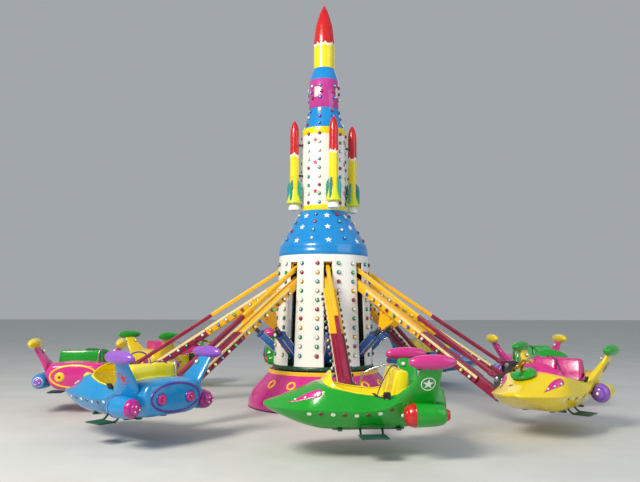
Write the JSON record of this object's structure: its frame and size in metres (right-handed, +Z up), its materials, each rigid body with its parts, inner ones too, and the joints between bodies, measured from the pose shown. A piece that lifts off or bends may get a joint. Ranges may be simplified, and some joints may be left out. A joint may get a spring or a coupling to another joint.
{
  "type": "self-control plane fairground ride",
  "caption": "Rocket tower that turns on a round base, with lifting arms that each carry a level two-seat plane.",
  "frame": {"origin": "on the ground, on the tower's axis, under the centre of the round base", "axes": "+Z up along the tower; -Y along arm 1; arms numbered counter-clockwise from above; the planes head clockwise"},
  "size_m": [7.8888, 7.8888, 6],
  "materials": {
    "pink_base": "glossy gelcoat, pink",
    "dark_steel": "satin dark paint",
    "turntable_green": "satin dark green paint",
    "mast_blue": "satin dark blue paint",
    "drum_white": "glossy white gelcoat",
    "dome_blue": "glossy sky blue gelcoat",
    "band_pink": "glossy magenta gelcoat",
    "rocket_red": "glossy red and yellow gelcoat",
    "booster_yellow": "glossy yellow gelcoat with a red tip",
    "arm_yellow": "gloss enamel, yellow then crimson",
    "link_yellow": "gloss enamel, yellow then crimson",
    "cylinder_blue": "gloss blue enamel",
    "piston_steel": "ground and plated rod",
    "hull_green": "glossy green gelcoat",
    "hull_yellow": "glossy yellow gelcoat",
    "hull_pink": "glossy pink gelcoat",
    "hull_blue": "glossy blue gelcoat"
  },
  "bodies": {
    "base": {"base_skirt": "pink_base", "slew_ring": "dark_steel"},
    "rotor": {"turntable": "turntable_green", "mast": "mast_blue", "main_drum": "drum_white", "dome": "dome_blue", "upper_drum": "drum_white", "shoulder_cone": "dome_blue", "band_drum": "band_pink", "neck_cone": "dome_blue", "nose_cone": "rocket_red", "booster_1": "booster_yellow", "booster_2": "booster_yellow", "booster_3": "booster_yellow", "booster_4": "booster_yellow"},
    "boom_1": {"boom_1": "arm_yellow"},
    "link_rod_1": {"link_rod_1": "link_yellow"},
    "cabin_1": {"cabin_1": "hull_green"},
    "cylinder_1": {"cylinder_1": "cylinder_blue"},
    "piston_1": {"piston_1": "piston_steel"},
    "boom_2": {"boom_2": "arm_yellow"},
    "link_rod_2": {"link_rod_2": "link_yellow"},
    "cabin_2": {"cabin_2": "hull_yellow"},
    "cylinder_2": {"cylinder_2": "cylinder_blue"},
    "piston_2": {"piston_2": "piston_steel"},
    "boom_3": {"boom_3": "arm_yellow"},
    "link_rod_3": {"link_rod_3": "link_yellow"},
    "cabin_3": {"cabin_3": "hull_pink"},
    "cylinder_3": {"cylinder_3": "cylinder_blue"},
    "piston_3": {"piston_3": "piston_steel"},
    "boom_4": {"boom_4": "arm_yellow"},
    "link_rod_4": {"link_rod_4": "link_yellow"},
    "cabin_4": {"cabin_4": "hull_blue"},
    "cylinder_4": {"cylinder_4": "cylinder_blue"},
    "piston_4": {"piston_4": "piston_steel"},
    "boom_5": {"boom_5": "arm_yellow"},
    "link_rod_5": {"link_rod_5": "link_yellow"},
    "cabin_5": {"cabin_5": "hull_green"},
    "cylinder_5": {"cylinder_5": "cylinder_blue"},
    "piston_5": {"piston_5": "piston_steel"},
    "boom_6": {"boom_6": "arm_yellow"},
    "link_rod_6": {"link_rod_6": "link_yellow"},
    "cabin_6": {"cabin_6": "hull_yellow"},
    "cylinder_6": {"cylinder_6": "cylinder_blue"},
    "piston_6": {"piston_6": "piston_steel"},
    "boom_7": {"boom_7": "arm_yellow"},
    "link_rod_7": {"link_rod_7": "link_yellow"},
    "cabin_7": {"cabin_7": "hull_pink"},
    "cylinder_7": {"cylinder_7": "cylinder_blue"},
    "piston_7": {"piston_7": "piston_steel"},
    "boom_8": {"boom_8": "arm_yellow"},
    "link_rod_8": {"link_rod_8": "link_yellow"},
    "cabin_8": {"cabin_8": "hull_blue"},
    "cylinder_8": {"cylinder_8": "cylinder_blue"},
    "piston_8": {"piston_8": "piston_steel"}
  },
  "joints": [
    {"name": "tower_turn", "type": "hinge", "parent": "base", "child": "rotor", "pos_m": [0, 0, 0.53], "axis": [0, 0, 1], "continuous": true},
    {"name": "arm_lift_1", "type": "hinge", "parent": "rotor", "child": "boom_1", "pos_m": [0, -0.56, 1.7715], "axis": [-1, 0, 0], "range_deg": [0, 38]},
    {"name": "link_swing_1", "type": "hinge", "parent": "rotor", "child": "link_rod_1", "pos_m": [0, -0.56, 1.975], "axis": [-1, 0, 0], "range_deg": [0, 38]},
    {"name": "cabin_level_1", "type": "hinge", "parent": "boom_1", "child": "cabin_1", "pos_m": [0, -2.74, 0.344], "axis": [-1, 0, 0], "range_deg": [-38, 0]},
    {"name": "cylinder_tilt_1", "type": "hinge", "parent": "rotor", "child": "cylinder_1", "pos_m": [0, -0.5, 0.62], "axis": [-1, 0, 0], "range_deg": [0, 4.1]},
    {"name": "piston_slide_1", "type": "slide", "parent": "cylinder_1", "child": "piston_1", "axis": [0, -0.7236, 0.6902], "range_m": [0, 0.519]},
    {"name": "arm_lift_2", "type": "hinge", "parent": "rotor", "child": "boom_2", "pos_m": [0.39598, -0.39598, 1.7715], "axis": [-0.7071, -0.7071, 0], "range_deg": [0, 38]},
    {"name": "link_swing_2", "type": "hinge", "parent": "rotor", "child": "link_rod_2", "pos_m": [0.39598, -0.39598, 1.975], "axis": [-0.7071, -0.7071, 0], "range_deg": [0, 38]},
    {"name": "cabin_level_2", "type": "hinge", "parent": "boom_2", "child": "cabin_2", "pos_m": [1.93747, -1.93747, 0.344], "axis": [-0.7071, -0.7071, 0], "range_deg": [-38, 0]},
    {"name": "cylinder_tilt_2", "type": "hinge", "parent": "rotor", "child": "cylinder_2", "pos_m": [0.35355, -0.35355, 0.62], "axis": [-0.7071, -0.7071, 0], "range_deg": [0, 4.1]},
    {"name": "piston_slide_2", "type": "slide", "parent": "cylinder_2", "child": "piston_2", "axis": [0.5117, -0.5117, 0.6902], "range_m": [0, 0.519]},
    {"name": "arm_lift_3", "type": "hinge", "parent": "rotor", "child": "boom_3", "pos_m": [0.56, 0, 1.7715], "axis": [0, -1, 0], "range_deg": [0, 38]},
    {"name": "link_swing_3", "type": "hinge", "parent": "rotor", "child": "link_rod_3", "pos_m": [0.56, 0, 1.975], "axis": [0, -1, 0], "range_deg": [0, 38]},
    {"name": "cabin_level_3", "type": "hinge", "parent": "boom_3", "child": "cabin_3", "pos_m": [2.74, 0, 0.344], "axis": [0, -1, 0], "range_deg": [-38, 0]},
    {"name": "cylinder_tilt_3", "type": "hinge", "parent": "rotor", "child": "cylinder_3", "pos_m": [0.5, 0, 0.62], "axis": [0, -1, 0], "range_deg": [0, 4.1]},
    {"name": "piston_slide_3", "type": "slide", "parent": "cylinder_3", "child": "piston_3", "axis": [0.7236, 0, 0.6902], "range_m": [0, 0.519]},
    {"name": "arm_lift_4", "type": "hinge", "parent": "rotor", "child": "boom_4", "pos_m": [0.39598, 0.39598, 1.7715], "axis": [0.7071, -0.7071, 0], "range_deg": [0, 38]},
    {"name": "link_swing_4", "type": "hinge", "parent": "rotor", "child": "link_rod_4", "pos_m": [0.39598, 0.39598, 1.975], "axis": [0.7071, -0.7071, 0], "range_deg": [0, 38]},
    {"name": "cabin_level_4", "type": "hinge", "parent": "boom_4", "child": "cabin_4", "pos_m": [1.93747, 1.93747, 0.344], "axis": [0.7071, -0.7071, 0], "range_deg": [-38, 0]},
    {"name": "cylinder_tilt_4", "type": "hinge", "parent": "rotor", "child": "cylinder_4", "pos_m": [0.35355, 0.35355, 0.62], "axis": [0.7071, -0.7071, 0], "range_deg": [0, 4.1]},
    {"name": "piston_slide_4", "type": "slide", "parent": "cylinder_4", "child": "piston_4", "axis": [0.5117, 0.5117, 0.6902], "range_m": [0, 0.519]},
    {"name": "arm_lift_5", "type": "hinge", "parent": "rotor", "child": "boom_5", "pos_m": [0, 0.56, 1.7715], "axis": [1, 0, 0], "range_deg": [0, 38]},
    {"name": "link_swing_5", "type": "hinge", "parent": "rotor", "child": "link_rod_5", "pos_m": [0, 0.56, 1.975], "axis": [1, 0, 0], "range_deg": [0, 38]},
    {"name": "cabin_level_5", "type": "hinge", "parent": "boom_5", "child": "cabin_5", "pos_m": [0, 2.74, 0.344], "axis": [1, 0, 0], "range_deg": [-38, 0]},
    {"name": "cylinder_tilt_5", "type": "hinge", "parent": "rotor", "child": "cylinder_5", "pos_m": [0, 0.5, 0.62], "axis": [1, 0, 0], "range_deg": [0, 4.1]},
    {"name": "piston_slide_5", "type": "slide", "parent": "cylinder_5", "child": "piston_5", "axis": [0, 0.7236, 0.6902], "range_m": [0, 0.519]},
    {"name": "arm_lift_6", "type": "hinge", "parent": "rotor", "child": "boom_6", "pos_m": [-0.39598, 0.39598, 1.7715], "axis": [0.7071, 0.7071, 0], "range_deg": [0, 38]},
    {"name": "link_swing_6", "type": "hinge", "parent": "rotor", "child": "link_rod_6", "pos_m": [-0.39598, 0.39598, 1.975], "axis": [0.7071, 0.7071, 0], "range_deg": [0, 38]},
    {"name": "cabin_level_6", "type": "hinge", "parent": "boom_6", "child": "cabin_6", "pos_m": [-1.93747, 1.93747, 0.344], "axis": [0.7071, 0.7071, 0], "range_deg": [-38, 0]},
    {"name": "cylinder_tilt_6", "type": "hinge", "parent": "rotor", "child": "cylinder_6", "pos_m": [-0.35355, 0.35355, 0.62], "axis": [0.7071, 0.7071, 0], "range_deg": [0, 4.1]},
    {"name": "piston_slide_6", "type": "slide", "parent": "cylinder_6", "child": "piston_6", "axis": [-0.5117, 0.5117, 0.6902], "range_m": [0, 0.519]},
    {"name": "arm_lift_7", "type": "hinge", "parent": "rotor", "child": "boom_7", "pos_m": [-0.56, 0, 1.7715], "axis": [0, 1, 0], "range_deg": [0, 38]},
    {"name": "link_swing_7", "type": "hinge", "parent": "rotor", "child": "link_rod_7", "pos_m": [-0.56, 0, 1.975], "axis": [0, 1, 0], "range_deg": [0, 38]},
    {"name": "cabin_level_7", "type": "hinge", "parent": "boom_7", "child": "cabin_7", "pos_m": [-2.74, 0, 0.344], "axis": [0, 1, 0], "range_deg": [-38, 0]},
    {"name": "cylinder_tilt_7", "type": "hinge", "parent": "rotor", "child": "cylinder_7", "pos_m": [-0.5, 0, 0.62], "axis": [0, 1, 0], "range_deg": [0, 4.1]},
    {"name": "piston_slide_7", "type": "slide", "parent": "cylinder_7", "child": "piston_7", "axis": [-0.7236, 0, 0.6902], "range_m": [0, 0.519]},
    {"name": "arm_lift_8", "type": "hinge", "parent": "rotor", "child": "boom_8", "pos_m": [-0.39598, -0.39598, 1.7715], "axis": [-0.7071, 0.7071, 0], "range_deg": [0, 38]},
    {"name": "link_swing_8", "type": "hinge", "parent": "rotor", "child": "link_rod_8", "pos_m": [-0.39598, -0.39598, 1.975], "axis": [-0.7071, 0.7071, 0], "range_deg": [0, 38]},
    {"name": "cabin_level_8", "type": "hinge", "parent": "boom_8", "child": "cabin_8", "pos_m": [-1.93747, -1.93747, 0.344], "axis": [-0.7071, 0.7071, 0], "range_deg": [-38, 0]},
    {"name": "cylinder_tilt_8", "type": "hinge", "parent": "rotor", "child": "cylinder_8", "pos_m": [-0.35355, -0.35355, 0.62], "axis": [-0.7071, 0.7071, 0], "range_deg": [0, 4.1]},
    {"name": "piston_slide_8", "type": "slide", "parent": "cylinder_8", "child": "piston_8", "axis": [-0.5117, -0.5117, 0.6902], "range_m": [0, 0.519]}
  ],
  "couplings": [
    {"joint": "link_swing_1", "follows": "arm_lift_1", "ratio": 1},
    {"joint": "cabin_level_1", "follows": "arm_lift_1", "ratio": -1},
    {"joint": "cylinder_tilt_1", "follows": "arm_lift_1", "ratio": 0.10635},
    {"joint": "piston_slide_1", "follows": "arm_lift_1", "m_per_rad": 0.78199},
    {"joint": "link_swing_2", "follows": "arm_lift_2", "ratio": 1},
    {"joint": "cabin_level_2", "follows": "arm_lift_2", "ratio": -1},
    {"joint": "cylinder_tilt_2", "follows": "arm_lift_2", "ratio": 0.10635},
    {"joint": "piston_slide_2", "follows": "arm_lift_2", "m_per_rad": 0.78199},
    {"joint": "link_swing_3", "follows": "arm_lift_3", "ratio": 1},
    {"joint": "cabin_level_3", "follows": "arm_lift_3", "ratio": -1},
    {"joint": "cylinder_tilt_3", "follows": "arm_lift_3", "ratio": 0.10635},
    {"joint": "piston_slide_3", "follows": "arm_lift_3", "m_per_rad": 0.78199},
    {"joint": "link_swing_4", "follows": "arm_lift_4", "ratio": 1},
    {"joint": "cabin_level_4", "follows": "arm_lift_4", "ratio": -1},
    {"joint": "cylinder_tilt_4", "follows": "arm_lift_4", "ratio": 0.10635},
    {"joint": "piston_slide_4", "follows": "arm_lift_4", "m_per_rad": 0.78199},
    {"joint": "link_swing_5", "follows": "arm_lift_5", "ratio": 1},
    {"joint": "cabin_level_5", "follows": "arm_lift_5", "ratio": -1},
    {"joint": "cylinder_tilt_5", "follows": "arm_lift_5", "ratio": 0.10635},
    {"joint": "piston_slide_5", "follows": "arm_lift_5", "m_per_rad": 0.78199},
    {"joint": "link_swing_6", "follows": "arm_lift_6", "ratio": 1},
    {"joint": "cabin_level_6", "follows": "arm_lift_6", "ratio": -1},
    {"joint": "cylinder_tilt_6", "follows": "arm_lift_6", "ratio": 0.10635},
    {"joint": "piston_slide_6", "follows": "arm_lift_6", "m_per_rad": 0.78199},
    {"joint": "link_swing_7", "follows": "arm_lift_7", "ratio": 1},
    {"joint": "cabin_level_7", "follows": "arm_lift_7", "ratio": -1},
    {"joint": "cylinder_tilt_7", "follows": "arm_lift_7", "ratio": 0.10635},
    {"joint": "piston_slide_7", "follows": "arm_lift_7", "m_per_rad": 0.78199},
    {"joint": "link_swing_8", "follows": "arm_lift_8", "ratio": 1},
    {"joint": "cabin_level_8", "follows": "arm_lift_8", "ratio": -1},
    {"joint": "cylinder_tilt_8", "follows": "arm_lift_8", "ratio": 0.10635},
    {"joint": "piston_slide_8", "follows": "arm_lift_8", "m_per_rad": 0.78199}
  ]
}
